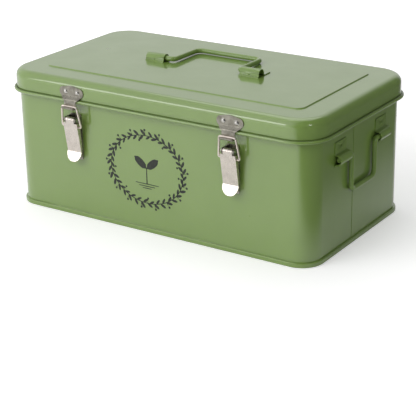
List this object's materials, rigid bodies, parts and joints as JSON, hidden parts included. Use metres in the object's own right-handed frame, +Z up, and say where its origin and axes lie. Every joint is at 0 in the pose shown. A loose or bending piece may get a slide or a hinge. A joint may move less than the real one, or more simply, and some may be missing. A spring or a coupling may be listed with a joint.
{
  "type": "lidded seed storage box",
  "caption": "Rectangular sheet-steel storage box with a slip-over hinged lid, draw latches in front, folding wire handles on lid and ends, and a lengthwise divider inside.",
  "frame": {"origin": "centre of the flat underside of the base, on the surface the box stands on", "axes": "+X to the right along the length, -Y to the front with the latches, +Z up"},
  "size_m": [0.3446, 0.1997, 0.1443],
  "materials": {
    "green_enamel": "glossy baked enamel",
    "nickel_plated_steel": "nickel plate, soft satin",
    "plated_hinge_steel": "zinc plate, satin",
    "steel_rivet": "domed and polished",
    "steel_pin": "plain drawn wire"
  },
  "bodies": {
    "box": {"body_shell": "green_enamel", "base_pan": "green_enamel", "centre_divider": "green_enamel", "divider_channel_left": "green_enamel", "divider_channel_right": "green_enamel", "latch_base_left": "nickel_plated_steel", "latch_base_right": "nickel_plated_steel", "latch_pin_left": "steel_pin", "latch_pin_right": "steel_pin", "latch_base_rivets": "steel_rivet", "left_saddle_front": "green_enamel", "left_saddle_back": "green_enamel", "right_saddle_front": "green_enamel", "right_saddle_back": "green_enamel", "hinge_box_leaf_left": "plated_hinge_steel", "hinge_box_leaf_right": "plated_hinge_steel", "hinge_pin_left": "steel_pin", "hinge_pin_right": "steel_pin", "hinge_box_rivets": "steel_rivet"},
    "lid": {"lid_shell": "green_enamel", "lid_saddle_left": "green_enamel", "lid_saddle_right": "green_enamel", "keeper_left": "nickel_plated_steel", "keeper_right": "nickel_plated_steel", "keeper_rivets": "steel_rivet", "hinge_lid_leaf_left": "plated_hinge_steel", "hinge_lid_leaf_right": "plated_hinge_steel", "hinge_lid_rivets": "steel_rivet"},
    "lid_bail": {"lid_bail": "green_enamel"},
    "left_bail": {"left_bail": "green_enamel"},
    "right_bail": {"right_bail": "green_enamel"},
    "latch_lever_left": {"latch_lever_left": "nickel_plated_steel"},
    "latch_lever_right": {"latch_lever_right": "nickel_plated_steel"},
    "latch_loop_left": {"latch_loop_left": "nickel_plated_steel"},
    "latch_loop_right": {"latch_loop_right": "nickel_plated_steel"}
  },
  "joints": [
    {"name": "lid_hinge", "type": "hinge", "parent": "box", "child": "lid", "pos_m": [0, 0.0944, 0.109], "axis": [-1, 0, 0], "range_deg": [0, 105]},
    {"name": "lid_handle", "type": "hinge", "parent": "lid", "child": "lid_bail", "pos_m": [0, 0.0015, 0.1404], "axis": [1, 0, 0], "range_deg": [0, 180]},
    {"name": "right_handle", "type": "hinge", "parent": "box", "child": "right_bail", "pos_m": [0.1684, 0, 0.0895], "axis": [0, -1, 0], "range_deg": [0, 165]},
    {"name": "left_handle", "type": "hinge", "parent": "box", "child": "left_bail", "pos_m": [-0.1684, 0, 0.0895], "axis": [0, 1, 0], "range_deg": [0, 165]},
    {"name": "latch_left", "type": "hinge", "parent": "box", "child": "latch_lever_left", "pos_m": [-0.0872, -0.097, 0.099], "axis": [-1, 0, 0], "range_deg": [0, 120]},
    {"name": "loop_left", "type": "hinge", "parent": "latch_lever_left", "child": "latch_loop_left", "pos_m": [-0.0872, -0.0959, 0.0921], "axis": [-1, 0, 0], "range_deg": [-96, 0]},
    {"name": "latch_right", "type": "hinge", "parent": "box", "child": "latch_lever_right", "pos_m": [0.0872, -0.097, 0.099], "axis": [-1, 0, 0], "range_deg": [0, 120]},
    {"name": "loop_right", "type": "hinge", "parent": "latch_lever_right", "child": "latch_loop_right", "pos_m": [0.0872, -0.0959, 0.0921], "axis": [-1, 0, 0], "range_deg": [-96, 0]}
  ],
  "couplings": [
    {"joint": "loop_left", "follows": "latch_left", "ratio": -0.8},
    {"joint": "loop_right", "follows": "latch_right", "ratio": -0.8}
  ]
}
